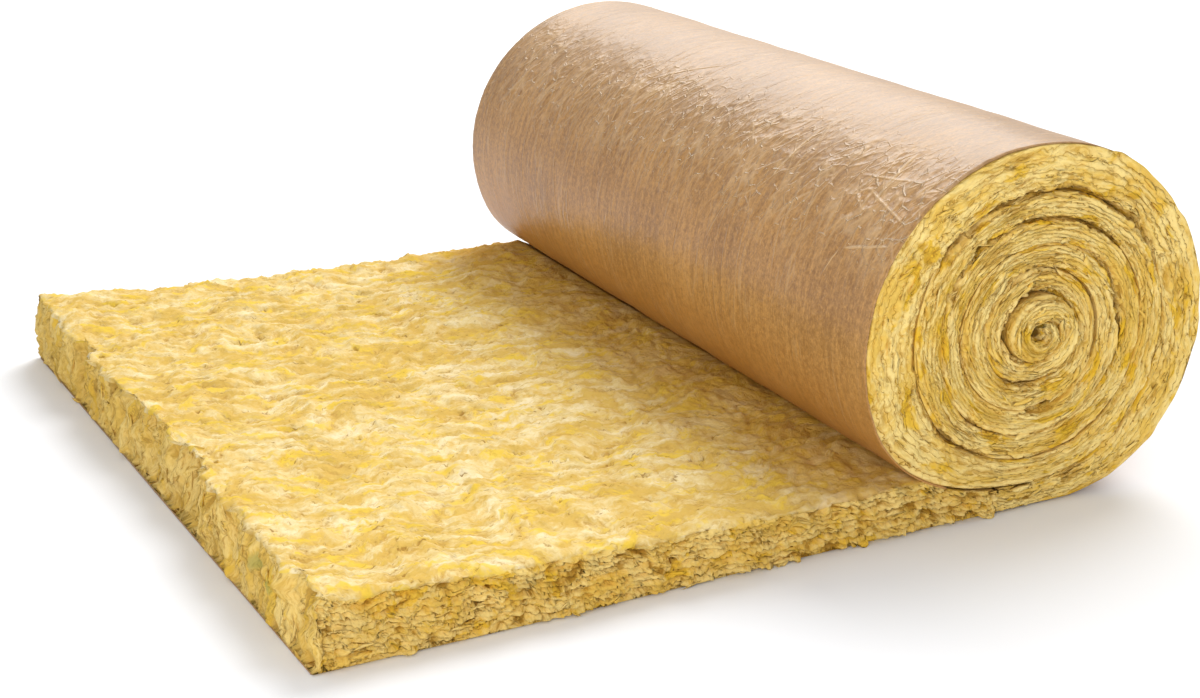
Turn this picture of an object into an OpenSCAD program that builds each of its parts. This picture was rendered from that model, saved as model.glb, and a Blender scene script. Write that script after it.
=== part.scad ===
// Insulation roll: a kraft faced mineral wool blanket, wound into a roll and partly run out flat.
// Origin: on the floor, in the middle of the length and of the width it covers.
// The roll's axis lies along Y, the flat run points to -X, +Z is up. Millimetres.

/* [Blanket] */

// Width of the blanket, also the length of the roll
blanket_w = 1200; // [600:10:1200]
// Thickness of the flat run, facing included
blanket_t = 68; // [50:2:80]
// Thickness at the cut edge, where the free end has sprung up
edge_t = 88; // [80:2:110]
// How far in from the cut edge the run is thicker
sprung_len = 420; // [200:20:450]
// From the middle of the cut edge to a point straight below the roll's axis
run_len = 900; // [500:10:1500]
// How far out of square the cut edge runs over the whole width
cut_skew = 60; // [0:5:80]

/* [Roll] */

// Outside diameter of the roll, facing included
roll_d = 436; // [360:4:600]
// Diameter of the open passage down the middle of the roll
bore_d = 14; // [8:1:40]
// How many windings show on each end
windings = 6; // [4:1:8]
// Depth of the seams between windings on the ends
seam_depth = 8; // [3:1:15]
// Width of those seams at the face
seam_w = 5; // [2:1:8]

/* [Facing] */

// Thickness of the kraft facing
facing_t = 1.6; // [1:0.2:3]

/* [Hidden] */

$fn = 180;
roll_r = roll_d / 2;
wool_r = roll_r - facing_t;
bore_r = bore_d / 2;
// The outermost winding is less squeezed than the ones inside it.
outer_winding = 0.24 * wool_r;
inner_pitch = (wool_r - outer_winding - bore_r) / (windings - 1);
// The origin is in the middle of the whole, so the axis and the cut edge follow from the length.
axis_x = (run_len + cut_skew / 2 - roll_r) / 2;
cut_x = axis_x - run_len;

wool_color = [0.86, 0.74, 0.36];
kraft_color = [0.66, 0.48, 0.34];

// Radius of the seam that closes winding number i, counted from the bore outwards.
function seam_r(i) = bore_r + i * inner_pitch;

// Lays a solid that was turned about Z down along Y, on the roll's axis.
module lay_down() {
  translate([axis_x, blanket_w / 2, roll_r])
    rotate([90, 0, 0])
      children();
}

// One ring shaped V seam cut into an end face at height z; side is 1 at the top, -1 at the bottom.
module seam(r, z, side) {
  rotate_extrude()
    polygon([
      [r - seam_w / 2, z + side],
      [r + seam_w / 2, z + side],
      [r + seam_w / 2, z],
      [r, z - side * seam_depth],
      [r - seam_w / 2, z]
    ]);
}

// The wound wool: one turned solid with its bore, its windings showing on both ends.
module wound_wool() {
  difference() {
    cylinder(h = blanket_w, r = wool_r);
    translate([0, 0, -1])
      cylinder(h = blanket_w + 2, r = bore_r);
    for (i = [1 : windings - 1]) {
      seam(seam_r(i), blanket_w, 1);
      seam(seam_r(i), 0, -1);
    }
  }
}

// A layer of the flat run, from the slanting cut edge to straight below the roll's axis.
module run_layer(bottom, top) {
  translate([0, 0, bottom])
    linear_extrude(height = top - bottom)
      polygon([
        [cut_x + cut_skew / 2, -blanket_w / 2],
        [axis_x, -blanket_w / 2],
        [axis_x, blanket_w / 2],
        [cut_x - cut_skew / 2, blanket_w / 2]
      ]);
}

// The run's wool from its side: thickest at the cut edge, level from there to the roll.
module run_side() {
  translate([0, blanket_w / 2, 0])
    rotate([90, 0, 0])
      linear_extrude(height = blanket_w)
        polygon([
          [cut_x - cut_skew / 2, facing_t],
          [axis_x, facing_t],
          [axis_x, blanket_t],
          [cut_x + sprung_len, blanket_t],
          [cut_x + cut_skew / 2, edge_t],
          [cut_x - cut_skew / 2, edge_t]
        ]);
}

module wool_blanket() {
  color(wool_color)
    union() {
      lay_down()
        wound_wool();
      difference() {
        intersection() {
          run_side();
          run_layer(facing_t, edge_t);
        }
        lay_down()
          translate([0, 0, -1])
            cylinder(h = blanket_w + 2, r = wool_r - 1);
      }
    }
}

module kraft_facing() {
  color(kraft_color)
    union() {
      // Round the roll: from the floor up the right side, over the top, down to the flat run.
      difference() {
        lay_down()
          difference() {
            cylinder(h = blanket_w, r = roll_r);
            translate([0, 0, -1])
              cylinder(h = blanket_w + 2, r = wool_r);
          }
        translate([axis_x - roll_d, -blanket_w / 2 - 1, -1])
          cube([roll_d, blanket_w + 2, blanket_t + 1]);
      }
      // Under the flat run.
      run_layer(0, facing_t);
    }
}

wool_blanket();
kraft_facing();
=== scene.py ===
"""Looks of the insulation roll: the mineral wool blanket, its kraft facing, floor, light and camera."""

import itertools
import math

import bmesh
import bpy
import numpy as np
from mathutils import Matrix, Vector


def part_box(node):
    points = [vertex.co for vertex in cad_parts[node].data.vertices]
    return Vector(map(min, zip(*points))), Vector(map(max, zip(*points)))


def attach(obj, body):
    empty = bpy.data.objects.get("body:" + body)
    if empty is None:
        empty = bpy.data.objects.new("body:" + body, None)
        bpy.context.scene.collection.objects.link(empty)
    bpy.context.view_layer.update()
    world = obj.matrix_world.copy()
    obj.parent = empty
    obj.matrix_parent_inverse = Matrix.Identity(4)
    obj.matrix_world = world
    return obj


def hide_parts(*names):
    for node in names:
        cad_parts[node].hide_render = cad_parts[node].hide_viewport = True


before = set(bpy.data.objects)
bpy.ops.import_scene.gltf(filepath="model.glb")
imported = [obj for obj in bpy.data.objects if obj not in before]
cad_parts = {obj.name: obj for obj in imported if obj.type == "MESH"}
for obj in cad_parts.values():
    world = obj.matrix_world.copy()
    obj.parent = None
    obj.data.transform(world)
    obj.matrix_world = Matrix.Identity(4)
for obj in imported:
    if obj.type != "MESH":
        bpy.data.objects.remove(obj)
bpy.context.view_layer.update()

# ------------ sizes, in metres
facing_lo, facing_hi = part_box("kraft_facing")
HALF_LENGTH = facing_hi.y  # half the blanket's width, which is half the roll's length
ROLL_R = facing_hi.z / 2
AXIS_X = facing_hi.x - ROLL_R
RUN_T, CUT_T = 0.066, 0.089  # thickness of the flat run, and of its cut end, where it has sprung up
SPRUNG_REACH = 0.20  # how quickly that fades away from the cut edge
CUT_SKEW = 0.06  # how far the cut edge runs out of square
RUN_LEN = AXIS_X - facing_lo.x - CUT_SKEW / 2
FACING_T = 0.0016
FACING_END = 1.80 * math.pi  # how far round the roll the facing goes, as an angle from the floor
PRESSED = (-0.20, -0.14)  # stretch in which the roll comes to rest on the run, from below the axis
RELIEF_FLOOR, LOCK_FLOOR = 0.0004, 0.0006  # lowest height of the wool, and of its loose locks

HALF_WIDE = 1.05 * ROLL_R  # the soft roll sags a little wider than high
HALF_HIGH = 1.018 * ROLL_R
AXIS_Z = 0.985 * ROLL_R  # and flattens where it rests
SINK = 0.18  # share of the radius the second winding sits above the floor
SINK_START, SINK_END = 1.62 * math.pi, 1.98 * math.pi
PITCH = 0.135  # share of the radius per inner winding
BORE = 0.022  # share of the radius left open at the heart
INNER_END = 0.085  # share of the radius at which the innermost winding ends
FULL_TURN = 2 * math.pi

WOUND_DEPTH = 0.030  # how deep the modelled ends of the windings are
JOIN_S = -0.05  # where the flat run hands over to the windings, measured from below the axis

STATION = 0.0019  # spacing of the mesh along the windings
ACROSS_WOUND = 22  # its faces across one winding
RUN_STEP, RUN_ACROSS = 0.0036, 0.0047  # spacing of the flat run's mesh along it, and across it
RUN_LAYERS = 26  # its faces from the floor to the top
FACING_GRID = 0.0052  # spacing of the facing's mesh

FLOW_ALONG, FLOW_ACROSS = 1.8, 0.9  # the pattern's coordinates per metre of the flat run
CUT_MARK = 5.0  # added to the third coordinate of places on the cut edge, which tells them apart


def smooth(x, lo, hi):
    t = np.clip((x - lo) / (hi - lo), 0, 1)
    return t * t * (3 - 2 * t)


def lattice_noise(seed, *coords):
    """Smooth noise from 0 to 1 at points given by any number of coordinates."""
    coords = np.broadcast_arrays(*[np.asarray(c, float) for c in coords])
    cells = [np.floor(c).astype(np.int64) for c in coords]
    parts = [smooth(c - cell, 0, 1) for c, cell in zip(coords, cells)]
    total = 0
    for corner in itertools.product((0, 1), repeat=len(coords)):
        key, weight = seed * 9176 + 77, 1
        for cell, step, part, prime in zip(cells, corner, parts, (73856093, 19349663, 83492791)):
            key = key + (cell + step) * prime
            weight = weight * (part if step else 1 - part)
        key = ((key ^ (key >> 13)) * 1274126177) & 0xFFFFFFFF
        total = total + weight * (((key ^ (key >> 16)) & 0xFFFF) / 0xFFFF)
    return total


# ------------ the section of the blanket
def winding_share(turned):
    """Share of the roll's radius at which the facing lies, after turning that far up from the floor."""
    settled = 1 - SINK * smooth(turned, SINK_START, SINK_END)
    return settled - PITCH * np.maximum(turned - FULL_TURN, 0) / FULL_TURN


def on_section(turned, share):
    """Point of the roll's section, (x, z), at an angle from the floor and a share of the radius."""
    x = AXIS_X + HALF_WIDE * share * np.sin(turned)
    z = AXIS_Z - HALF_HIGH * share * np.cos(turned)
    return x, np.maximum(z, 0)


def along(x, z):
    """Length along a line of points, starting at 0."""
    return np.concatenate([[0], np.cumsum(np.hypot(np.diff(x), np.diff(z)))])


def tangents(x, z):
    """Direction of a line at each of its points."""
    tx, tz = np.gradient(x), np.gradient(z)
    size = np.hypot(tx, tz)
    return tx / size, tz / size


INNER_TURN = FULL_TURN * (1 + (1 - SINK - INNER_END) / PITCH)


def wound_stations(step, stop=INNER_TURN):
    """Angles spaced evenly along the middle of the wound wool, and their length from the start."""
    fine = np.linspace(0.0, stop, 20000)
    outer = winding_share(fine)
    inner = np.maximum(winding_share(fine + FULL_TURN), BORE)
    length = along(*on_section(fine, (outer + inner) / 2))
    count = int(length[-1] / step) + 1
    even = np.linspace(0, length[-1], count)
    return np.interp(even, length, fine), even


def run_top(s):
    """Height of the flat run's top, s along from below the axis. Under the roll it is squeezed."""
    turned = np.linspace(1.5 * math.pi, FULL_TURN, 4000)
    x, z = on_section(turned, winding_share(turned))
    under = np.interp(s, x - AXIS_X, z, left=1.0)
    sprung = (CUT_T - RUN_T) * np.exp(-(s + RUN_LEN) / SPRUNG_REACH)
    return np.minimum(RUN_T + sprung, under - 0.002)


def tucked(s, z):
    """How far the side is drawn in low down, where the blanket rests on the floor."""
    return (0.004 + 0.010 * smooth(s, -0.75, -0.20)) * np.exp(-np.maximum(z, 0) / 0.018)


def run_x(s, y):
    """Where the flat run's station s lies along X. The cut end runs out of square."""
    return AXIS_X + s - CUT_SKEW * (y / (2 * HALF_LENGTH)) * (-s / RUN_LEN)


# ------------ mesh helpers
def link(obj):
    bpy.context.scene.collection.objects.link(obj)
    return obj


def new_mesh_object(name, verts, faces, attributes):
    """A closed mesh object whose faces point outwards, with named point or corner attributes."""
    mesh = bpy.data.meshes.new(name)
    mesh.from_pydata(verts, [], faces)
    for key, (domain, kind, values) in attributes.items():
        layer = mesh.attributes.new(key, kind, domain)
        field = "vector" if kind == "FLOAT_VECTOR" else "value"
        layer.data.foreach_set(field, np.asarray(values, np.float32).ravel())
    bm = bmesh.new()
    bm.from_mesh(mesh)
    bmesh.ops.recalc_face_normals(bm, faces=bm.faces)
    bm.to_mesh(mesh)
    bm.free()
    mesh.shade_smooth()
    return link(bpy.data.objects.new(name, mesh))


def grid_faces(index):
    """Quads of a 2-D array of vertex numbers."""
    a, b = index[:-1, :-1].ravel(), index[1:, :-1].ravel()
    c, d = index[1:, 1:].ravel(), index[:-1, 1:].ravel()
    return np.stack([a, b, c, d], 1).tolist()


def bake_modifiers(obj):
    """Replaces the object's mesh with what its modifiers make of it."""
    graph = bpy.context.evaluated_depsgraph_get()
    made = bpy.data.meshes.new_from_object(
        obj.evaluated_get(graph), preserve_all_data_layers=True, depsgraph=graph
    )
    old = obj.data
    obj.modifiers.clear()
    obj.data = made
    made.name = obj.name
    bpy.data.meshes.remove(old)
    return obj


# ------------ nodes as expressions
class Val:
    """One output socket, with arithmetic that adds Math nodes."""

    def __init__(self, net, socket):
        self.net, self.socket = net, socket

    def __add__(self, other):
        return self.net.math("ADD", self, other)

    def __sub__(self, other):
        return self.net.math("SUBTRACT", self, other)

    def __rsub__(self, other):
        return self.net.math("SUBTRACT", other, self)

    def __mul__(self, other):
        return self.net.math("MULTIPLY", self, other)

    __radd__ = __add__
    __rmul__ = __mul__


class Net:
    """A node tree that nodes are added to as expressions."""

    def __init__(self, tree):
        self.tree = tree

    def add(self, kind, settings=None, sockets=None, out=0):
        node = self.tree.nodes.new(kind)
        for key, value in (settings or {}).items():
            setattr(node, key, value)
        for key, value in (sockets or {}).items():
            if isinstance(value, Val):
                self.tree.links.new(value.socket, node.inputs[key])
            else:
                node.inputs[key].default_value = value
        return Val(self, node.outputs[out]) if len(node.outputs) else node

    def attribute(self, name, kind):
        """A named attribute, for Geometry Nodes."""
        return self.add("GeometryNodeInputNamedAttribute", {"data_type": kind}, {"Name": name})

    def surface(self, name, out="Fac"):
        """A named attribute, for a material."""
        return self.add("ShaderNodeAttribute", {"attribute_name": name}, None, out)

    def math(self, operation, a, b=0.0):
        return self.add("ShaderNodeMath", {"operation": operation}, {0: a, 1: b})

    def vec(self, operation, a, b):
        return self.add("ShaderNodeVectorMath", {"operation": operation}, {0: a, 1: b})

    def measure(self, operation, a, b):
        """A number worked out from two vectors."""
        return self.add("ShaderNodeVectorMath", {"operation": operation}, {0: a, 1: b}, "Value")

    def part(self, vector, axis):
        return self.add("ShaderNodeSeparateXYZ", None, {0: vector}, axis)

    def scaled(self, value, scale):
        return self.add("ShaderNodeVectorMath", {"operation": "SCALE"}, {0: value, "Scale": scale})

    def ramp(self, value, lo, hi, to_lo=0.0, to_hi=1.0):
        """Smooth step of a value from lo to hi."""
        sockets = {"Value": value, "From Min": lo, "From Max": hi, "To Min": to_lo, "To Max": to_hi}
        return self.add("ShaderNodeMapRange", {"interpolation_type": "SMOOTHSTEP"}, sockets)

    def noise(self, vector, detail=2.0, rough=0.5, out="Fac"):
        sockets = {"Vector": vector, "Scale": 1.0, "Detail": detail, "Roughness": rough}
        return self.add("ShaderNodeTexNoise", {"noise_dimensions": "3D"}, sockets, out)

    def wander(self, vector, detail, rough=0.5):
        """Noise as a vector around zero."""
        return self.vec("SUBTRACT", self.noise(vector, detail, rough, "Color"), (0.5, 0.5, 0.5))

    def shifted(self, vector, wander, reach):
        return self.vec("ADD", vector, self.vec("MULTIPLY", wander, reach))

    def cells(self, vector, feature="F1"):
        settings = {"voronoi_dimensions": "2D", "feature": feature}
        return self.add("ShaderNodeTexVoronoi", settings, {"Vector": vector, "Scale": 1.0})

    def swung(self, vector, angle):
        """Coordinates turned by an angle about the third axis."""
        sockets = {"Vector": vector, "Angle": angle}
        return self.add("ShaderNodeVectorRotate", {"rotation_type": "Z_AXIS"}, sockets)

    def mix(self, factor, a, b):
        """Mix of two colours."""
        return self.add("ShaderNodeMix", {"data_type": "RGBA"}, {0: factor, 6: a, 7: b}, 2)


def new_tree(name, inputs, output):
    """A Geometry Nodes tree with named inputs and one output."""
    tree = bpy.data.node_groups.new(name, "GeometryNodeTree")
    for title, kind in inputs:
        tree.interface.new_socket(title, in_out="INPUT", socket_type="NodeSocket" + kind)
    tree.interface.new_socket(output, in_out="OUTPUT", socket_type="NodeSocketGeometry")
    return tree, tree.nodes.new("NodeGroupInput"), tree.nodes.new("NodeGroupOutput")


# ------------ wool: fields shared by relief and colour
def stretched(net, vector, along_m, across_m, offset=None):
    """Coordinates for a pattern of that many cells per metre along and across the fibres."""
    if offset:
        vector = net.vec("ADD", vector, offset)
    return net.vec("MULTIPLY", vector, (along_m, across_m, across_m))


def flow_coords(net, flow):
    """Bends the straight fibre direction into slow swirls and small kinks."""
    swirl = net.wander(stretched(net, flow, 6, 8), 1.0)
    kink = net.wander(stretched(net, flow, 28, 48), 2.0, 0.6)
    bent = net.shifted(flow, swirl, (0.07, 0.12, 0.06))
    return net.shifted(bent, kink, (0.016, 0.022, 0.022))


def lock_field(net, bent):
    """Locks of wool, about 20 mm across and 60 mm long."""
    return net.noise(stretched(net, bent, 15, 46), 2.0, 0.55)


def strand_field(net, bent):
    """Flattened strands, about 6 mm across and 40 mm long."""
    return net.noise(stretched(net, bent, 26, 150, (2.6, 9.1, 3.3)), 3.0, 0.6)


def parting_field(net, bent):
    """Short slits where strands part: 1 inside a slit, 0 elsewhere."""
    wave = net.noise(stretched(net, bent, 24, 125, (3.1, 0.7, 1.9)), 2.0, 0.6)
    return net.ramp(wave, 0.37, 0.25)


def layer_field(net, flow, bent):
    """The blanket's thin layers seen from its sides: 1 on a layer's lip, 0 in the gap below it."""
    slow = net.noise(stretched(net, flow, 9, 30, (6.6, 0.2, 3.9)), 1.0)
    quick = net.noise(stretched(net, bent, 55, 120, (0.3, 4.9, 7.7)), 2.0, 0.6)
    height = net.part(flow, 2)
    wave = net.math("FRACT", height * 135 + slow * 3.6 + quick * 1.5)
    return net.math("MULTIPLY", net.ramp(wave, 0.0, 0.30), net.ramp(wave, 1.0, 0.35, 0.25, 1.0))


# ------------ wool: relief of the surfaces
def relief_tree(material):
    """Geometry nodes that push a wool surface in and out along its fibres."""
    names = ("Lock height", "Crease depth", "Bulge", "Lip")
    inputs = [("Geometry", "Geometry")] + [(name, "Float") for name in names]
    tree, start, end = new_tree("wool relief", inputs, "Geometry")
    net = Net(tree)
    height, crease_depth, bulge, lip = (Val(net, start.outputs[i]) for i in (1, 2, 3, 4))
    place = net.attribute("place", "FLOAT_VECTOR")
    amount = net.attribute("amount", "FLOAT")
    layered = net.attribute("layered", "FLOAT")
    bent = flow_coords(net, place)
    locks = (lock_field(net, bent) - 0.5) * 2 * height
    strands = (strand_field(net, bent) - 0.5) * 1.6 * height
    waves = (net.noise(net.vec("MULTIPLY", place, (15, 19, 19)), 2.0, 0.6) - 0.5) * 2 * bulge
    layers = (layer_field(net, place, bent) - 0.6) * lip * layered
    push = (locks + strands + waves + layers - parting_field(net, bent) * crease_depth) * amount
    normal = net.add("GeometryNodeInputNormal")
    flat = Val(net, start.outputs[0])
    moved = net.add("GeometryNodeSetPosition", None, {"Geometry": flat, "Offset": net.scaled(normal, push)})
    real = net.add("GeometryNodeRealizeInstances", None, {"Geometry": moved})
    done = net.add("GeometryNodeSetMaterial", None, {"Geometry": real, "Material": material})
    tree.links.new(done.socket, end.inputs[0])
    return tree


def set_inputs(modifier, values):
    """Sets a Geometry Nodes modifier's inputs by the identifiers of its named sockets."""
    for item in modifier.node_group.interface.items_tree:
        if item.item_type == "SOCKET" and item.in_out == "INPUT" and item.name in values:
            modifier[item.identifier] = values[item.name]


def add_relief(obj, tree, height, crease, bulge, lip):
    """Pushes a wool mesh in and out, and keeps it above the floor."""
    modifier = obj.modifiers.new("relief", "NODES")
    modifier.node_group = tree
    set_inputs(modifier, {"Lock height": height, "Crease depth": crease, "Bulge": bulge, "Lip": lip})
    obj = bake_modifiers(obj)
    for vertex in obj.data.vertices:
        vertex.co.z = max(vertex.co.z, RELIEF_FLOOR)
    return obj


# ------------ the flat run
def cut_notches(y):
    """How far back the cut edge is torn, at places across the blanket."""
    notch = 0.015 * smooth(lattice_noise(42, y * 17 + 0.3), 0.60, 0.80)
    notch += 0.006 * lattice_noise(43, y * 60) + 0.012 * np.exp(-(((y + 0.345) / 0.012) ** 2))
    return notch + 0.014 * smooth(y, -0.185, -0.172) * smooth(y, 0.02, -0.17)


def run_faces(vertex, ns, ny, nv):
    """Faces of the flat run, and the side that each is on; vertex(i, j, k) is one corner."""
    along_run, over, up = range(ns), range(ny), range(nv)
    sheets = [
        ([[vertex(i, j, nv - 1) for j in over] for i in along_run], "top"),
        ([[vertex(i, 0, k) for k in up] for i in along_run], "edge"),
        ([[vertex(i, ny - 1, k) for k in up] for i in along_run], "edge"),
        ([[vertex(0, j, k) for k in up] for j in over], "cut"),
        ([[vertex(ns - 1, j, k) for k in up] for j in over], "join"),
    ]
    faces, side = [], []
    for block, name in sheets:
        quads = grid_faces(np.array(block))
        faces += quads
        side += [name] * len(quads)
    rim = [vertex(i, 0, 0) for i in along_run]
    rim += [vertex(ns - 1, j, 0) for j in range(1, ny)]
    rim += [vertex(i, ny - 1, 0) for i in range(ns - 2, -1, -1)]
    rim += [vertex(0, j, 0) for j in range(ny - 2, 0, -1)]
    return faces + [rim], side + ["under"]


def flat_run():
    """The wool of the flat run, from the cut edge to where the windings take over."""
    s = np.linspace(-RUN_LEN, JOIN_S, int((RUN_LEN + JOIN_S) / RUN_STEP) + 1)
    inner = HALF_LENGTH - 0.007
    rim = HALF_LENGTH - np.array([0, 0.0016, 0.0038])
    y = np.concatenate([-rim, np.linspace(-inner, inner, int(2 * inner / RUN_ACROSS) + 1), rim[::-1]])
    v = np.linspace(0, 1, RUN_LAYERS + 1)
    top = run_top(s)
    ns, ny, nv = len(s), len(y), len(v)
    free = 1 - smooth(s, *PRESSED)
    worn = 0.0025 + 0.007 * lattice_noise(41, s[:, None] * 55, y[None, :] * 55)
    notch = cut_notches(y)
    ragged = 0.6 * lattice_noise(45, s * 38) + 0.4 * lattice_noise(46, s * 95)
    corner = smooth(y, 0.25, 0.60)
    verts, place, grain, amount, sow, layered = [], [], [], [], [], []
    index = {}

    def vertex(i, j, k):
        key = (i, j, k)
        if key not in index:
            index[key] = len(verts)
            # worn rims: the top sinks and the sides draw in towards each other, unevenly
            aside, ahead = HALF_LENGTH - abs(y[j]), s[i] + RUN_LEN
            sink = worn[i, j] * max(math.exp(-aside / 0.0035), math.exp(-ahead / 0.0035)) * free[i]
            lifted = 0.010 * corner[j] * math.exp(-ahead / 0.30)
            z = FACING_T + (top[i] + lifted - sink - FACING_T) * v[k]
            draw = 0.25 * worn[i, j] * math.exp(-(1 - v[k]) * RUN_T / 0.006) * free[i]
            yy = y[j] - math.copysign(draw, y[j]) * math.exp(-aside / 0.006)
            hem = 0.004 * (ragged[i] - 0.5) * math.exp(-v[k] * RUN_T / 0.012) * min(k, 1) * free[i]
            yy += math.copysign(1, y[j]) * (hem - tucked(s[i], z)) * math.exp(-aside / 0.004)
            xx = run_x(s[i], yy) + draw * math.exp(-ahead / 0.006)
            xx += notch[j] * math.exp(-ahead / 0.012) * (0.45 + 0.55 * v[k]) * min(k, 1)
            verts.append((xx, yy, z))
            cut = i == 0
            edge = j in (0, ny - 1)
            on_cut, on_run = (z, y[j], s[i] + CUT_MARK), (FLOW_ALONG * s[i], FLOW_ACROSS * y[j], z)
            place.append(on_cut if cut else on_run)
            grain.append((0, 0, 1) if cut and 0 < k < nv - 1 else (1, 0, 0))
            full = 0.0 if k == 0 else 1.0 + 0.45 * edge + 1.3 * cut
            if i == ns - 1:
                full = 0.0
            if k == nv - 1:  # pressed smooth where the roll sits on it
                full *= 1 - smooth(s[i], *PRESSED)
            amount.append(full)
            sow.append(full if 0 < k < nv - 1 and (edge or cut) and i < ns - 1 else 0.0)
            layered.append(1.0 if edge and not cut and 0 < k else 0.0)
        return index[key]

    faces, side = run_faces(vertex, ns, ny, nv)
    return finish_wool("wool_run", verts, faces, side, place, grain, amount, sow, layered)


def finish_wool(name, verts, faces, side, place, grain, amount, sow, layered, calm=None, deep=None):
    """Makes a wool mesh object, with the coordinates and the share of cut-edge colour of its faces."""
    flow, cut = [], []
    for loop, kind in zip(faces, side):
        upright = kind == "cut"
        for i in loop:
            p = place[i]
            marked = p[2] > 0.5 * CUT_MARK  # a place on the cut edge: height, width, marked length
            if marked and not upright:
                p = (FLOW_ALONG * (p[2] - CUT_MARK), FLOW_ACROSS * p[1], p[0])
            flow.append(p)
            cut.append({"top": 0.0, "cut": 0.55}.get(kind, 1.0) if calm is None else 1.0 - 0.2 * calm[i])
    attributes = {
        "place": ("POINT", "FLOAT_VECTOR", place),
        "grain": ("POINT", "FLOAT_VECTOR", grain),
        "amount": ("POINT", "FLOAT", amount),
        "sow": ("POINT", "FLOAT", sow),
        "layered": ("POINT", "FLOAT", layered),
        "flow": ("CORNER", "FLOAT_VECTOR", flow),
        "cut": ("CORNER", "FLOAT", cut),
        "deep": ("POINT", "FLOAT", deep or [0.0] * len(verts)),
    }
    return new_mesh_object(name, verts, faces, attributes)


# ------------ the ends of the windings
def seam_depth(turned):
    """How deep the seam outside a winding is torn open: deep in ragged stretches, shut elsewhere."""
    where = turned * 0.5 + 0.3 * np.sin(turned)
    open_part = smooth(lattice_noise(11, where * 1.9) + 0.16 * -np.cos(turned), 0.42, 0.66)
    ragged = 0.55 + 0.9 * lattice_noise(12, turned * 9.0) * lattice_noise(13, turned * 23.0 + 0.4)
    return 0.0018 + 0.012 * open_part * ragged


def winding_outline():
    """Lengths and angles along the wound wool, and the outer and inner line of its section."""
    turned, length = wound_stations(STATION)
    lead = np.arange(JOIN_S, 0, STATION)
    share_out = winding_share(turned) - FACING_T / HALF_HIGH
    share_in = np.maximum(winding_share(turned + FULL_TURN) - 0.95 * FACING_T / HALF_HIGH, BORE)
    ox, oz = on_section(turned, share_out)
    ix, iz = on_section(turned, share_in)
    ox = np.concatenate([AXIS_X + lead, ox])
    oz = np.concatenate([np.full(len(lead), FACING_T), np.maximum(oz, FACING_T)])
    ix = np.concatenate([AXIS_X + lead, ix])
    iz = np.concatenate([run_top(lead), iz])
    s = np.concatenate([lead, length])
    angle = np.concatenate([np.zeros(len(lead)), turned])
    return s, angle, (ox, oz), (ix, iz)


def end_depth(s, angle, across, from_out, from_in, low, side_no):
    """How far back the wool's end lies at each place, and how much of that is a torn seam."""
    # each winding stands a little proud or back of the next one, more so towards the core
    turn_no = angle / FULL_TURN
    proud = 0.006 * (lattice_noise(21 + side_no, angle * 0.9) - 0.5) * smooth(angle, 1, 4)
    proud += 0.016 * smooth(turn_no, 4.8, 5.5) - 0.005 * smooth(turn_no, 3.6, 4.6)
    outer_depth = seam_depth(angle + side_no) * smooth(angle, FULL_TURN * 0.93, FULL_TURN * 1.02) + 0.0004
    inner_depth = seam_depth(angle + FULL_TURN + side_no)
    inner_depth = np.where(turn_no > (INNER_TURN / FULL_TURN) - 1.02, 0.014, inner_depth)
    outer_wide = lattice_noise(14 + side_no, s * 150) * lattice_noise(15 + side_no, s * 45)
    inner_wide = lattice_noise(16 + side_no, s * 160) * lattice_noise(17 + side_no, s * 41)
    outer_wide = 0.0010 + 0.0075 * outer_wide + 0.10 * outer_depth
    inner_wide = 0.0010 + 0.0075 * inner_wide + 0.10 * inner_depth
    groove = outer_depth[:, None] * np.exp(-((from_out / outer_wide[:, None]) ** 2))
    groove = groove + inner_depth[:, None] * np.exp(-((from_in / inner_wide[:, None]) ** 2))
    round_off = 0.0034 * np.abs(2 * across - 1) ** 2.6
    round_off = np.where((across < 0.5) & (angle < FULL_TURN)[:, None], 0.0, round_off)
    depth = groove + round_off - proud[:, None] + 0.0005 + tucked(s[:, None], low)
    return np.minimum(depth, 0.020), groove


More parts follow.
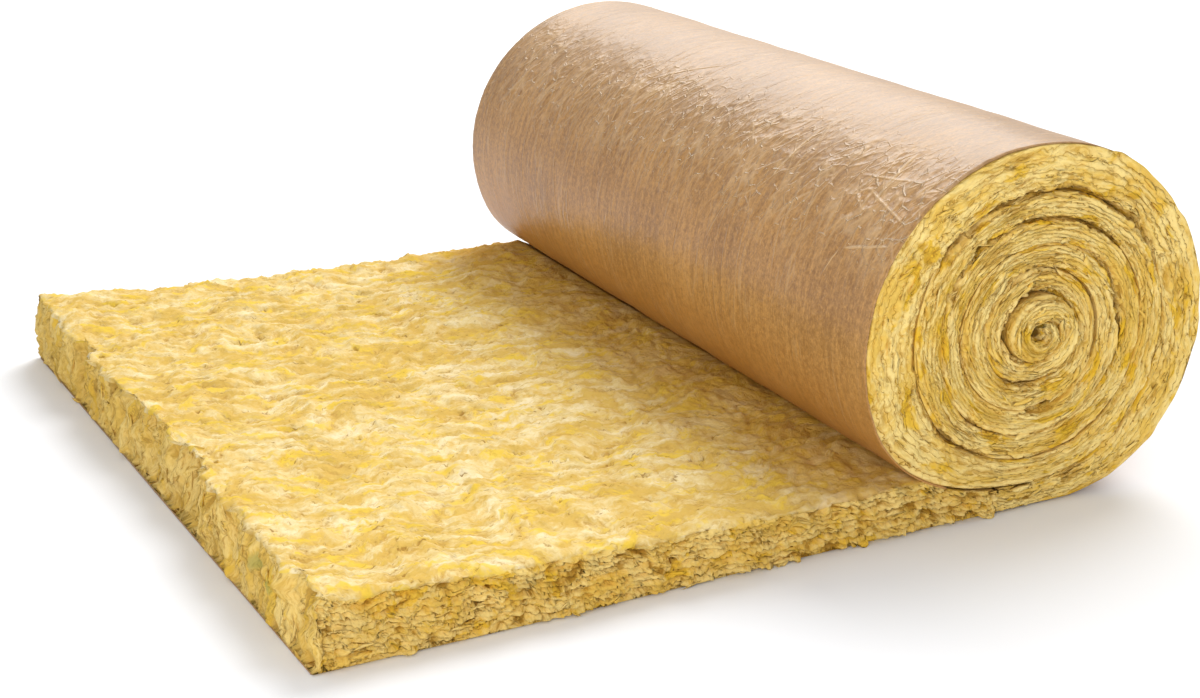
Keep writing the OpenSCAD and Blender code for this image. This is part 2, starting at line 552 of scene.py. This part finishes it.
def wound_end(name, near):
    """The wound wool at one end: a spiral band whose windings part in ragged seams."""
    out, side_no = (-1.0, 0) if near else (1.0, 40)  # the far end has other random patterns
    s, angle, (ox, oz), (ix, iz) = winding_outline()
    n, turn_no = len(s), angle / FULL_TURN
    tx, tz = tangents((ox + ix) / 2, (oz + iz) / 2)
    thick = np.hypot(ox - ix, oz - iz)
    v = np.linspace(0, 1, ACROSS_WOUND + 1)
    v = v - 0.045 * np.sin(FULL_TURN * v)  # closer together beside the seams
    wall = np.array([0.005, 0.020, WOUND_DEPTH])  # depths of the rows that close the band's sides
    across = np.broadcast_to(v, (n, len(v)))
    from_out, from_in = across * thick[:, None], (1 - across) * thick[:, None]
    x = ox[:, None] + (ix - ox)[:, None] * across
    z = oz[:, None] + (iz - oz)[:, None] * across
    depth, groove = end_depth(s, angle, across, from_out, from_in, z, side_no)
    free = smooth(np.minimum(from_out, from_in), 0.0, 0.0030)
    verts, place, grain, amount, sow, layered, calm, deep = [], [], [], [], [], [], [], []
    s_place = np.where(s < 0, FLOW_ALONG * s, s)
    z_scale = 0.073 - 0.028 * smooth(s, JOIN_S, 0.30)
    rested = smooth(s, JOIN_S, 0.14)

    def block(px, pz, pd, pa, strength, seeds, dark):
        """Adds a grid of points: section, depth, share across, relief, seeds of locks, painted shade."""
        first = len(verts)
        rows, columns = px.shape
        verts.extend(zip(px.ravel(), (out * (HALF_LENGTH - pd)).ravel(), pz.ravel()))
        ps = np.broadcast_to(s_place[:, None], px.shape)
        py = FLOW_ACROSS * out * (HALF_LENGTH - pd)
        place.extend(zip(ps.ravel(), py.ravel(), (pa * z_scale[:, None]).ravel()))
        calm.extend(np.repeat(rested, columns))
        deep.extend(dark.ravel().tolist())
        grain.extend(zip(np.repeat(tx, columns), np.zeros(px.size), np.repeat(tz, columns)))
        amount.extend(strength.ravel())
        layered.extend(np.full(px.size, 1.0))
        sow.extend(seeds.ravel())
        return np.arange(first, first + px.size).reshape(rows, columns)

    # at the back the wool swells past the paper, whose edge stops short of it there
    radius = np.hypot(x - AXIS_X, z - AXIS_Z)
    swell = (0.0012 + 0.0030 * lattice_noise(18 + side_no, s * 60)) * smooth(angle, 0.30, 0.70)
    swell = (swell * smooth(angle, 0.93 * math.pi, 0.84 * math.pi))[:, None] * np.exp(-from_out / 0.004)
    # painted shade: darker colour in the torn seams, less towards the core, and a painted shadow of the
    # paper's edge along the outer rim from the top round the left
    dark = np.clip(groove / 0.011, 0, 1) * (1 - 0.5 * smooth(turn_no, 3.2, 5.0))[:, None]
    dark[:, 0] = np.where((angle > 0.86 * math.pi) & (angle < FULL_TURN), 0.9, dark[:, 0])
    front_x = x + swell * (x - AXIS_X) / radius
    front_z = z + swell * (z - AXIS_Z) / radius
    sown = (free > 0.6) & ((from_out > 0.009) | (angle > FULL_TURN)[:, None])
    front = block(front_x, front_z, depth, across, free, sown.astype(float), dark)
    walls = []
    for column in (0, len(v) - 1):
        back = np.maximum(wall[None, :], depth[:, column : column + 1] + 0.001)
        back[:, -2] = np.maximum(back[:, -2], back[:, -3] + 0.001)
        back[:, -1] = WOUND_DEPTH
        px = np.repeat(x[:, column : column + 1], len(wall), 1)
        pz = np.repeat(z[:, column : column + 1], len(wall), 1)
        pa = np.full(px.shape, float(v[column]))
        still = np.zeros(px.shape)
        # the side walls, inside the seams, get full painted shade
        rows = block(px, pz, back, pa, still, still, still + 1.0)
        walls.append(np.concatenate([front[:, column : column + 1], rows], 1))
    faces = grid_faces(front) + grid_faces(walls[0]) + grid_faces(walls[1])
    faces += grid_faces(np.stack([walls[0][:, -1], walls[1][:, -1]], 1))
    for i in (0, n - 1):
        ring = list(front[i]) + list(walls[1][i, 1:]) + list(walls[0][i, :0:-1])
        faces.append([int(q) for q in ring])
    side = ["edge"] * len(faces)
    return finish_wool(name, verts, faces, side, place, grain, amount, sow, layered, calm, deep)


# ------------ loose locks on the wool
LOCK_LENGTH = 0.030  # how much of the colour pattern one lock spans
LOCK_NAMES = ("Lock A", "Lock B", "Lock C")


def lock_shape(name, seed, bend, curl, plump):
    """One flat, pointed lock of wool, 1 long, 0.2 wide: a bent and twisted tube of few faces."""
    rng = np.random.default_rng(seed)
    rings, sides = 4, 4
    verts = [(-0.5, 0, 0)]
    for i in range(rings):
        x = -0.5 + (i + 1) / (rings + 1)
        half = 0.10 * (1 - (2 * x) ** 2) ** 0.7 * rng.uniform(0.8, 1.2)
        twist = curl * x + rng.uniform(-0.15, 0.15)
        for k in range(sides):
            a = FULL_TURN * k / sides + twist
            verts.append((x, half * math.cos(a), half * plump * math.sin(a)))
    verts.append((0.5, 0, 0))
    verts = [(x, y + bend * (x * x - 0.1), z + 0.07 * curl * x * x) for x, y, z in verts]
    faces = []
    for k in range(sides):
        n = (k + 1) % sides
        faces.append((0, 1 + n, 1 + k))
        for i in range(rings - 1):
            a, b = 1 + i * sides, 1 + (i + 1) * sides
            faces.append((a + k, a + n, b + n, b + k))
        last = 1 + (rings - 1) * sides
        faces.append((last + k, last + n, len(verts) - 1))
    local = [(x * LOCK_LENGTH, y * LOCK_LENGTH, z * LOCK_LENGTH) for x, y, z in verts]
    return new_mesh_object(name, verts, faces, {"local": ("POINT", "FLOAT_VECTOR", local)})


def locks_tree(material):
    """Geometry nodes that lay loose locks on a wool surface, along its fibres."""
    inputs = [("Wool", "Geometry")] + [(name, "Object") for name in LOCK_NAMES]
    inputs += [(name, "Float") for name in ("Density", "Shortest", "Longest", "Slant", "Tilt")]
    tree, start, end = new_tree("loose locks", inputs + [("Seed", "Int")], "Locks")
    net = Net(tree)
    given = {o.name: Val(net, o) for o in start.outputs if o.name}

    def chance(kind, low, high, offset):
        """A random number for each lock; the offset tells the draws apart."""
        least, most, out = {"FLOAT": (2, 3, 1), "INT": (4, 5, 2)}[kind]
        seed = net.math("ADD", given["Seed"], offset)
        sockets = {least: low, most: high, "Seed": seed}
        return net.add("FunctionNodeRandomValue", {"data_type": kind}, sockets, out)

    scatter = tree.nodes.new("GeometryNodeDistributePointsOnFaces")
    scatter.distribute_method = "RANDOM"
    tree.links.new(given["Wool"].socket, scatter.inputs["Mesh"])
    tree.links.new((given["Density"] * net.attribute("sow", "FLOAT")).socket, scatter.inputs["Density"])
    tree.links.new(given["Seed"].socket, scatter.inputs["Seed"])
    normal = Val(net, scatter.outputs["Normal"])
    upright = net.add(
        "FunctionNodeAlignRotationToVector", {"axis": "Z"}, {"Factor": 1.0, "Vector": normal}
    )
    lengthwise = net.add(
        "FunctionNodeAlignRotationToVector", {"axis": "X", "pivot_axis": "Z"},
        {"Rotation": upright, "Factor": 1.0, "Vector": net.attribute("grain", "FLOAT_VECTOR")},
    )
    spin = chance("FLOAT", -1.0, 1.0, 11)
    slant = spin * spin * spin * given["Slant"] + chance("FLOAT", -0.25, 0.25, 12)
    roll = chance("FLOAT", -0.8, 0.8, 13)
    tilt = chance("FLOAT", -1.0, 1.0, 14) * given["Tilt"]
    turn = net.add("ShaderNodeCombineXYZ", None, {0: roll, 1: tilt, 2: slant})
    turn = net.add("FunctionNodeEulerToRotation", None, {0: turn})
    rotation = net.add(
        "FunctionNodeRotateRotation", {"rotation_space": "LOCAL"},
        {"Rotation": lengthwise, "Rotate By": turn},
    )
    even = chance("FLOAT", 0.0, 1.0, 15)
    length = given["Shortest"] + even * even * (given["Longest"] - given["Shortest"])
    width = length * chance("FLOAT", 0.6, 1.4, 16)
    size = net.add("ShaderNodeCombineXYZ", None, {0: length, 1: width, 2: width})
    shapes = tree.nodes.new("GeometryNodeJoinGeometry")
    for name in reversed(LOCK_NAMES):
        sockets = {"Object": given[name], "As Instance": True}
        info = net.add("GeometryNodeObjectInfo", None, sockets, "Geometry")
        tree.links.new(info.socket, shapes.inputs[0])
    laid = net.add(
        "GeometryNodeInstanceOnPoints", None,
        {
            "Points": Val(net, scatter.outputs["Points"]),
            "Instance": Val(net, shapes.outputs[0]),
            "Pick Instance": True,
            "Instance Index": chance("INT", 0, 2, 17),
            "Rotation": rotation,
            "Scale": size,
        },
    )
    laid = net.add(
        "GeometryNodeStoreNamedAttribute", {"data_type": "FLOAT", "domain": "INSTANCE"},
        {"Geometry": laid, "Name": "tone", "Value": chance("FLOAT", -1.0, 1.0, 18)},
    )
    real = net.add("GeometryNodeRealizeInstances", None, {"Geometry": laid})
    local, flow = net.attribute("local", "FLOAT_VECTOR"), net.attribute("flow", "FLOAT_VECTOR")
    flow = net.vec("ADD", local, flow)
    real = net.add(
        "GeometryNodeStoreNamedAttribute", {"data_type": "FLOAT_VECTOR", "domain": "POINT"},
        {"Geometry": real, "Name": "flow", "Value": flow},
    )
    done = net.add("GeometryNodeSetMaterial", None, {"Geometry": real, "Material": material})
    tree.links.new(done.socket, end.inputs[0])
    return tree


def loose_locks(name, wool_obj, tree, shapes, values):
    """Loose locks on one wool piece, as a mesh of their own."""
    obj = wool_obj.copy()
    obj.data = wool_obj.data.copy()
    obj.name = obj.data.name = name
    link(obj)
    modifier = obj.modifiers.new("locks", "NODES")
    modifier.node_group = tree
    given = dict(zip(LOCK_NAMES, shapes))
    set_inputs(modifier, {**given, **values})
    obj = bake_modifiers(obj)
    for vertex in obj.data.vertices:
        vertex.co.z = max(vertex.co.z, LOCK_FLOOR)
    for attribute in ("local", "place", "grain", "amount", "sow", "layered"):
        layer = obj.data.attributes.get(attribute)
        if layer:
            obj.data.attributes.remove(layer)
    obj.data.shade_smooth()
    return obj


# ------------ the kraft facing
def facing_sheet():
    """The kraft sheet: under the flat run, round the roll, and in under it again."""
    flat_s = np.linspace(-RUN_LEN - 0.001, 0, 46)[:-1]
    turned, _ = wound_stations(FACING_GRID, FACING_END)
    fx, fz = run_x(flat_s, 0.0), np.zeros(len(flat_s))
    wx, wz = on_section(turned, winding_share(turned))
    s = np.concatenate([flat_s, along(wx, wz)])
    x0, z0 = np.concatenate([fx, wx]), np.concatenate([fz, wz])
    tx, tz = tangents(x0, z0)
    y = np.linspace(-HALF_LENGTH, HALF_LENGTH, int(2 * HALF_LENGTH / FACING_GRID) + 1)
    ns, ny = len(s), len(y)
    verts, place, amount = [], [], []
    slack = lattice_noise(31, s[:, None] * 5, y[None, :] * 14) - 0.5
    slack = slack + 0.5 * (lattice_noise(32, s[:, None] * 13, y[None, :] * 30) - 0.5)
    slack = (0.0014 * slack + 0.0004) * smooth(s, 0.05, 0.20)[:, None]
    torn = 0.0014 * (lattice_noise(33, s * 70) + lattice_noise(34, s * 180) - 1.0)
    torn += 0.0058 * smooth(s, 0.62, 0.70) - 0.0052
    torn -= np.where(s < 0.25, tucked(s, z0) * smooth(s, 0.25, 0.15), 0.0)

    def row(offset, columns):
        """Adds the given columns of points, all of them that far inside the sheet's outer face."""
        made = []
        for i in range(ns):
            for j in columns:
                shift = run_x(s[i], y[j]) - run_x(s[i], 0.0) if s[i] < 0 else 0.0
                nx, nz = tz[i], -tx[i]  # outwards from the wool
                yy = y[j] * (1 + torn[i] / HALF_LENGTH)
                lift = -offset if offset else slack[i, j]
                z = max(z0[i] + nz * lift, 0.0 if offset == 0 else FACING_T * 0.8)
                verts.append((x0[i] + shift + nx * lift, yy, z))
                place.append((s[i], y[j], 0.0))
                free = smooth(s[i], 0.02, 0.10) if offset == 0 else 0.0
                amount.append(float(free))
                made.append(len(verts) - 1)
        return np.array(made).reshape(ns, len(columns))

    outer = row(0.0, range(ny))
    inner = row(FACING_T * 0.75, (0, ny - 1))
    faces = grid_faces(outer) + grid_faces(inner)
    for j, k in ((0, 0), (ny - 1, 1)):
        faces += grid_faces(np.stack([outer[:, j], inner[:, k]], 1))
    for i in (0, ns - 1):
        faces.append([int(q) for q in outer[i]] + [int(inner[i, 1]), int(inner[i, 0])])
    flow = [place[i] for loop in faces for i in loop]
    attributes = {
        "place": ("POINT", "FLOAT_VECTOR", place),
        "amount": ("POINT", "FLOAT", amount),
        "flow": ("CORNER", "FLOAT_VECTOR", flow),
    }
    return new_mesh_object("kraft_sheet", verts, faces, attributes)


# ------------ materials
def new_material(name):
    material = bpy.data.materials.new(name)
    material.use_nodes = True
    tree = material.node_tree
    shader = next(n for n in tree.nodes if n.type == "BSDF_PRINCIPLED")
    return material, Net(tree), shader


def wool_material():
    """Yellow mineral wool: soft pale locks on its faces, ragged ochre layers on its cut edges."""
    material, net, shader = new_material("mineral wool")
    flow = net.surface("flow", "Vector")
    tone, cut, deep = net.surface("tone"), net.surface("cut"), net.surface("deep")
    flank = net.ramp(cut, 0.8, 1.0)  # the long sides and the roll's ends
    cut = net.math("MINIMUM", cut * 1.25, 1.0)
    front = net.ramp(cut, 0.30, 0.55) * net.ramp(cut, 0.98, 0.80)  # the cut edge only
    torn = net.math("MAXIMUM", flank, front * 0.85)
    beside = net.part(flow, 0)  # along the run, towards the roll
    bent = flow_coords(net, flow)
    lock = lock_field(net, bent)
    strand = strand_field(net, bent)
    parting = parting_field(net, bent)
    layer = layer_field(net, flow, bent)
    fibre = net.noise(stretched(net, bent, 60, 480), 2.0, 0.7)
    slit = net.ramp(net.noise(stretched(net, bent, 40, 300, (5.7, 1.3, 6.1)), 2.0), 0.35, 0.26)
    blob = net.noise(stretched(net, bent, 12, 46, (7.3, 2.2, 4.1)), 3.0, 0.6)
    pale = net.noise(stretched(net, bent, 9, 42, (1.7, 5.2, 8.4)), 4.0, 0.65)
    drift = net.noise(stretched(net, flow, 5, 9, (0.4, 3.3, 2.8)), 2.0, 0.5)

    # the open faces: cream, gold and long amber streaks, with tan painted shade only in the hollows
    gold, cream = (0.69, 0.455, 0.105, 1), (0.83, 0.665, 0.33, 1)
    amber, tan, ochre = (0.82, 0.56, 0.055, 1), (0.50, 0.29, 0.068, 1), (0.33, 0.16, 0.025, 1)
    milk, shaded = (0.90, 0.76, 0.47, 1), (0.50, 0.265, 0.028, 1)
    fluff = net.noise(stretched(net, bent, 55, 170, (4.7, 6.2, 0.9)), 3.0, 0.7)
    whiter = pale * 1.15 + fluff * 0.30 + drift * 0.45 + tone * 0.06
    face = net.mix(net.ramp(whiter, 0.80, 1.12), gold, cream)
    face = net.mix(net.ramp(whiter, 1.03, 1.22), face, milk)
    face = net.mix(net.ramp(blob + fluff * 0.2, 0.61, 0.76) * 0.8, face, amber)
    # painted shade: tan where the locks and strands of the relief dip
    hollow_shade = net.ramp(lock * 0.45 + strand * 0.25 + fluff * 0.20 + fibre * 0.10, 0.48, 0.34)
    face = net.mix(hollow_shade * 0.85, face, tan)
    # painted shade: ochre in the slits where the strands part
    face = net.mix(net.math("MAXIMUM", parting * 0.75, slit * 0.45), face, ochre)
    # painted shade: the run's top darker and browner towards the roll, in patches
    roll_shade_patches = net.ramp(drift + fluff * 0.4, 0.45, 0.90, 0.30, 0.90)
    face = net.mix(net.ramp(beside, -0.70, -0.38) * roll_shade_patches, face, shaded)

    # the cut edges and the roll's ends: darker, layered, with yellow blobs, and brown painted shade in
    # their slits, dips, layer gaps and seams
    straw, honey = (0.94, 0.72, 0.27, 1), (0.82, 0.54, 0.11, 1)
    brass, umber = (0.55, 0.305, 0.035, 1), (0.25, 0.115, 0.012, 1)
    yolk, bark = (0.80, 0.48, 0.02, 1), (0.34, 0.17, 0.018, 1)
    edge = net.mix(net.ramp(pale + fibre * 0.3 + tone * 0.08, 0.52, 0.76), honey, straw)
    edge = net.mix(net.ramp(blob + fibre * 0.1, 0.60, 0.70) * 0.85, edge, yolk)
    # painted shade: brass where the locks and strands dip
    edge = net.mix(net.ramp(lock * 0.4 + strand * 0.6, 0.50, 0.36) * 0.7, edge, brass)
    # painted shade: brass in the gaps under the layers' lips
    edge = net.mix(net.ramp(layer, 0.35, 0.0) * 0.70, edge, brass)
    # painted shade: the run's long sides a little darker, towards brass, than the roll's ends
    edge = net.mix(net.ramp(beside, 0.0, -0.2) * flank * 0.30, edge, brass)
    # painted shade: umber deep in the gaps under the layers' lips, in patches
    gap_shade = net.ramp(layer, 0.22, 0.0) * net.ramp(drift + fluff * 0.3, 0.54, 0.76)
    edge = net.mix(gap_shade * 0.8, edge, umber)
    # painted shade: bark brown in the deeper dips of the torn faces
    dip_shade = net.ramp(lock * 0.6 + strand * 0.4, 0.45, 0.37)
    edge = net.mix(dip_shade * torn * 0.75, edge, bark)
    # painted shade: bark brown in the dips of the cut edge
    cut_dip_shade = net.ramp(lock * 0.5 + strand * 0.3 + fluff * 0.2, 0.49, 0.39)
    edge = net.mix(cut_dip_shade * front * 0.75, edge, bark)
    # painted shade: brass between the fibres of the cut edge
    edge = net.mix(net.ramp(fibre, 0.52, 0.34) * front * 0.55, edge, brass)
    # painted shade: umber in the slits and partings
    slits = net.math("MAXIMUM", parting * (flank * 0.54 + 0.38), slit * (torn * 0.45 + 0.12))
    edge = net.mix(slits, edge, umber)
    # painted shade: umber in the torn seams between the windings, on the band's side walls, and a painted
    # shadow of the paper's edge
    edge = net.mix(net.ramp(deep + fluff * 0.8 - 0.4, 0.30, 1.1) * 0.55, edge, umber)

    # two small green stains on the cut edge, towards the near corner
    green = (0.17, 0.27, 0.07, 1)
    for height, width, reach in ((0.06, -0.43, 0.020), (0.05, -0.47, 0.018)):
        place = (height, width, CUT_MARK - RUN_LEN)
        apart = net.measure("DISTANCE", flow, place)
        edge = net.mix(net.ramp(apart + fluff * 0.010, reach, reach * 0.5) * 0.8, edge, green)
    # painted light: the cut edge brightened towards a strong yellow
    colour = net.mix(front * 0.20, net.mix(cut, face, edge), (0.98, 0.71, 0.20, 1))
    height = lock * 0.25 + strand * (cut * 0.20 + 0.18) + fluff * 0.18 + fibre * 0.07
    height = height + fibre * front * 0.14 - parting * (cut * 0.12 + 0.08)
    height = height - slit * cut * 0.08 + layer * cut * 0.20
    bump = net.add("ShaderNodeBump", None, {"Height": height, "Strength": 0.8, "Distance": 0.010})
    net.tree.links.new(colour.socket, shader.inputs["Base Color"])
    net.tree.links.new(bump.socket, shader.inputs["Normal"])
    shader.inputs["Roughness"].default_value = 0.95
    shader.inputs["Specular IOR Level"].default_value = 0.12
    return material


# long folds pressed into the facing, rounded to whole centimetres: both ends as (round the roll from
# the floor, along its axis), then half the width of the fold and its height
FOLDS = (
    ((0.92, -0.29), (0.80, -0.30), 0.0040, 0.0013),
    ((0.90, -0.51), (0.79, -0.49), 0.0045, 0.0016),
    ((0.95, -0.49), (0.92, -0.60), 0.0030, 0.0014),
    ((0.99, -0.48), (0.94, -0.50), 0.0025, 0.0009),
    ((1.02, -0.20), (0.92, -0.24), 0.0020, 0.0008),
    ((1.06, -0.12), (0.97, -0.13), 0.0020, -0.0009),
    ((1.09, -0.26), (0.95, -0.25), 0.0025, 0.0006),
    ((1.02, -0.38), (0.90, -0.35), 0.0030, 0.0006),
    ((0.85, 0.16), (0.75, 0.02), 0.0035, 0.0010),
    ((0.89, 0.07), (0.78, 0.03), 0.0030, 0.0008),
    ((0.87, -0.47), (0.90, -0.60), 0.0030, 0.0012),
    ((0.86, -0.44), (0.84, -0.56), 0.0030, 0.0009),
    ((1.13, 0.25), (0.96, 0.29), 0.0025, 0.0006),
    ((1.08, 0.39), (0.93, 0.40), 0.0025, 0.0006),
)


def fold_height(net, spot, first, last, wide, high):
    """Height of one fold at a spot on the sheet; it fades out at both ends."""
    ds, dy = last[0] - first[0], last[1] - first[1]
    long = math.hypot(ds, dy)
    away = net.vec("SUBTRACT", spot, (*first, 0))
    down = net.measure("DOT_PRODUCT", away, (ds / long, dy / long, 0))
    aside = net.math("ABSOLUTE", net.measure("DOT_PRODUCT", away, (-dy / long, ds / long, 0)))
    fade = net.ramp(down, 0, 0.3 * long) * net.ramp(down, long, 0.65 * long)
    crest = net.math("MAXIMUM", 1.0 - aside * (1 / wide), 0.0)
    return crest * fade * high


def ridge(net, vector, detail, sharp):
    """Thin wandering lines: 1 on a line, 0 away from it."""
    off_line = net.math("ABSOLUTE", net.noise(vector, detail) - 0.5)
    return net.math("MAXIMUM", 1.0 - off_line * sharp, 0.0)


def kraft_material():
    """Brown kraft paper, semi-gloss: crumpled over the shoulder of the roll, fine creases round it."""
    material, net, shader = new_material("kraft paper")
    flow = net.surface("flow", "Vector")

    def over(vector, around_m, along_m):
        """Coordinates for a pattern of that many cells per metre round the roll and along it."""
        return net.vec("MULTIPLY", vector, (around_m, along_m, 1))

    wander = net.wander(over(flow, 45, 45), 2.0)
    spot = net.shifted(flow, wander, (0.010, 0.010, 0))
    round_roll = net.part(flow, 0)
    drift = net.noise(over(flow, 6, 5), 2.0)
    mottle = net.noise(over(flow, 120, 110), 4.0, 0.7)
    streak = net.noise(over(flow, 9, 110), 3.0, 0.65)
    grit = net.noise(over(flow, 250, 330), 2.0, 0.7)

    # where the paper is crumpled: in patches of a band over the roll's shoulder, and faintly elsewhere
    shoulder = net.ramp(round_roll, 0.765, 0.85) * net.ramp(round_roll, 1.00, 0.91)
    patchy = net.noise(over(flow, 15, 15), 1.0)
    crumpled = shoulder * net.ramp(drift * 0.4 + patchy * 0.6, 0.38, 0.60, 0.25, 1.0) + 0.09
    steady = net.shifted(flow, wander, (0.0035, 0.0035, 0))
    facets = net.cells(over(spot, 38, 42))
    small = net.cells(over(spot, 100, 100))

    around = ridge(net, over(steady, 5.5, 36), 2.0, 24.0)
    around = around * net.ramp(net.noise(over(flow, 9, 16), 1.0), 0.46, 0.62)
    slanted = ridge(net, over(net.swung(steady, 0.45), 9, 26), 1.0, 22.0)
    crossing = ridge(net, over(net.swung(steady, -0.55), 12, 34), 1.0, 22.0)
    slanted = net.math("MAXIMUM", slanted, crossing) * crumpled
    creased = net.cells(over(spot, 46, 50), "DISTANCE_TO_EDGE")
    pressed = net.noise(over(steady, 60, 75), 1.0)
    creased = net.ramp(creased, 0.08, 0.0) * net.ramp(pressed, 0.48, 0.60) * crumpled

    folds = 0.0
    for first, last, wide, high in FOLDS:
        folds = fold_height(net, steady, first, last, wide, high) + folds
    height = folds + crumpled * (facets * 0.0030 + small * 0.0010) + slanted * 0.0009 + creased * 0.0018
    height = height + around * 0.00055 + streak * 0.00005 + mottle * 0.00018 + grit * 0.00008

    dark, light = (0.27, 0.125, 0.032, 1), (0.56, 0.295, 0.088, 1)
    worn, wool_bounce = (0.74, 0.50, 0.26, 1), (0.52, 0.235, 0.045, 1)
    shade = streak * 0.27 + mottle * 0.42 + drift * 0.20 + grit * 0.30
    colour = net.mix(net.ramp(shade, 0.46, 0.74), dark, light)
    # painted sheen: the paper paler and greyer over the top and back of the roll, where the reflected light
    # falls, fading out down the left shoulder
    colour = net.mix(net.ramp(round_roll, 0.96, 0.80) * 0.30, colour, (0.44, 0.30, 0.17, 1))
    # painted bounce light: more orange low on the roll's left side, over the yellow wool
    colour = net.mix(net.ramp(round_roll, 1.04, 1.22) * 0.6, colour, wool_bounce)
    # pale crests of the folds, creases and ridges: partly real wear of the paper, partly a painted
    # highlight
    rubbed_and_highlit = net.math("MAXIMUM", net.math("MAXIMUM", around * 0.20, slanted * 0.45), creased * 0.80)
    rubbed_and_highlit = net.math("MAXIMUM", rubbed_and_highlit, net.ramp(folds, 0.0003, 0.0009) * 0.7)
    colour = net.mix(rubbed_and_highlit, colour, worn)
    bump = net.add("ShaderNodeBump", None, {"Height": height, "Strength": 1.0, "Distance": 1.0})
    net.tree.links.new(colour.socket, shader.inputs["Base Color"])
    net.tree.links.new(bump.socket, shader.inputs["Normal"])
    net.tree.links.new((mottle * 0.16 + 0.31).socket, shader.inputs["Roughness"])
    shader.inputs["Specular IOR Level"].default_value = 0.48
    return material


# ------------ stage
def studio():
    """Pale floor, a soft key light, a softbox behind the roll and a weak one in front of it."""
    bpy.ops.mesh.primitive_plane_add(size=30, location=(0, 0, 0))
    floor = bpy.context.object
    floor.name = "floor"
    floor.data.transform(Matrix.Translation((0, 0, -0.0005)))  # just below the blanket
    material, _, shader = new_material("floor paper")
    shader.inputs["Base Color"].default_value = (0.885, 0.893, 0.915, 1)
    shader.inputs["Roughness"].default_value = 0.8
    floor.data.materials.append(material)

    world = bpy.data.worlds.new("studio")
    bpy.context.scene.world = world
    world.use_nodes = True
    back = world.node_tree.nodes["Background"]
    back.inputs["Color"].default_value = (1.0, 1.0, 1.0, 1)
    back.inputs["Strength"].default_value = 0.68

    def softbox(name, place, aim, size, power):
        """A rectangular light at a place, pointed at an aim."""
        light = bpy.data.lights.new(name, "AREA")
        light.shape = "RECTANGLE"
        light.size, light.size_y = size
        light.energy = power
        obj = bpy.data.objects.new(name, light)
        obj.location = place
        obj.rotation_euler = (Vector(aim) - Vector(place)).to_track_quat("-Z", "Y").to_euler()
        link(obj)

    softbox("rear softbox", (1.8, 3.4, 2.9), (0.35, 0, 0.3), (2.8, 3.0), 84)
    softbox("front softbox", (-1.1, -2.1, 0.9), (0.1, -0.55, 0.2), (1.0, 0.8), 14.5)

    key = bpy.data.lights.new("key", "SUN")
    key.energy, key.angle = 1.59, math.radians(31)
    lamp = bpy.data.objects.new("key", key)
    lamp.rotation_euler = Vector((0.72, 0.50, 1.0)).to_track_quat("Z", "Y").to_euler()
    link(lamp)


def camera():
    """The viewing angle: over the near corner of the flat run, along it to the roll."""
    place = Vector((AXIS_X - 1.3502, -2.4655, 0.970))
    yaw, pitch, roll = 0.4291, 0.3127, -0.0351
    ahead = Vector((math.sin(yaw) * math.cos(pitch), math.cos(yaw) * math.cos(pitch), -math.sin(pitch)))
    right = Vector((math.cos(yaw), -math.sin(yaw), 0))
    up = right.cross(ahead)
    right_rolled = right * math.cos(roll) + up * math.sin(roll)
    up_rolled = up * math.cos(roll) - right * math.sin(roll)
    data = bpy.data.cameras.new("camera")
    data.sensor_width = 36
    data.lens = 62.9
    data.shift_x, data.shift_y = -0.0337, -0.0178
    obj = bpy.data.objects.new("camera", data)
    axes = (right_rolled, up_rolled, -ahead, place)
    obj.matrix_world = Matrix([[axis[row] for axis in axes] for row in range(3)] + [[0, 0, 0, 1]])
    bpy.context.scene.camera = link(obj)


# ------------ assembly
def place_piece(obj, material, node):
    """Gives a piece its material, says what it rides on, and hides the model's part that it takes the place
    of.
    """
    obj.data.materials.clear()
    obj.data.materials.append(material)
    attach(obj, "root")
    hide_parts(node)


wool = wool_material()
kraft = kraft_material()
relief = relief_tree(wool)

# relief in metres: height of the locks, depth of the creases, bulges, lips of the layers
RUN_RELIEF = (0.0070, 0.0050, 0.0070, 0.0070)
END_RELIEF = (0.0034, 0.0036, 0.0030, 0.0036)
run = add_relief(flat_run(), relief, *RUN_RELIEF)
near_end = add_relief(wound_end("wool_wound_near_end", True), relief, *END_RELIEF)
far_end = add_relief(wound_end("wool_wound_far_end", False), relief, *END_RELIEF)
sheet = facing_sheet()

shapes = [
    lock_shape("lock_a", 1, 0.25, 0.2, 0.25),
    lock_shape("lock_b", 2, -0.35, -0.3, 0.2),
    lock_shape("lock_c", 3, 0.05, 0.3, 0.3),
]
locks = locks_tree(wool)
# locks to the square metre, their lengths in metres, and how far they lie askew
RUN_LOCKS = {"Density": 900.0, "Shortest": 0.010, "Longest": 0.030, "Slant": 0.9, "Tilt": 0.0}
END_LOCKS = {"Density": 5000.0, "Shortest": 0.012, "Longest": 0.036, "Slant": 0.4, "Tilt": 0.08}
run_locks = loose_locks("wool_run_locks", run, locks, shapes, {**RUN_LOCKS, "Seed": 5})
near_locks = loose_locks("wool_wound_near_locks", near_end, locks, shapes, {**END_LOCKS, "Seed": 8})
far_locks = loose_locks("wool_wound_far_locks", far_end, locks, shapes, {**END_LOCKS, "Seed": 9})
for shape in shapes:
    bpy.data.objects.remove(shape)

for piece in (run, near_end, far_end, run_locks, near_locks, far_locks):
    place_piece(piece, wool, "wool_blanket")
place_piece(sheet, kraft, "kraft_facing")

studio()
camera()
bpy.context.scene.view_settings.view_transform = "Standard"
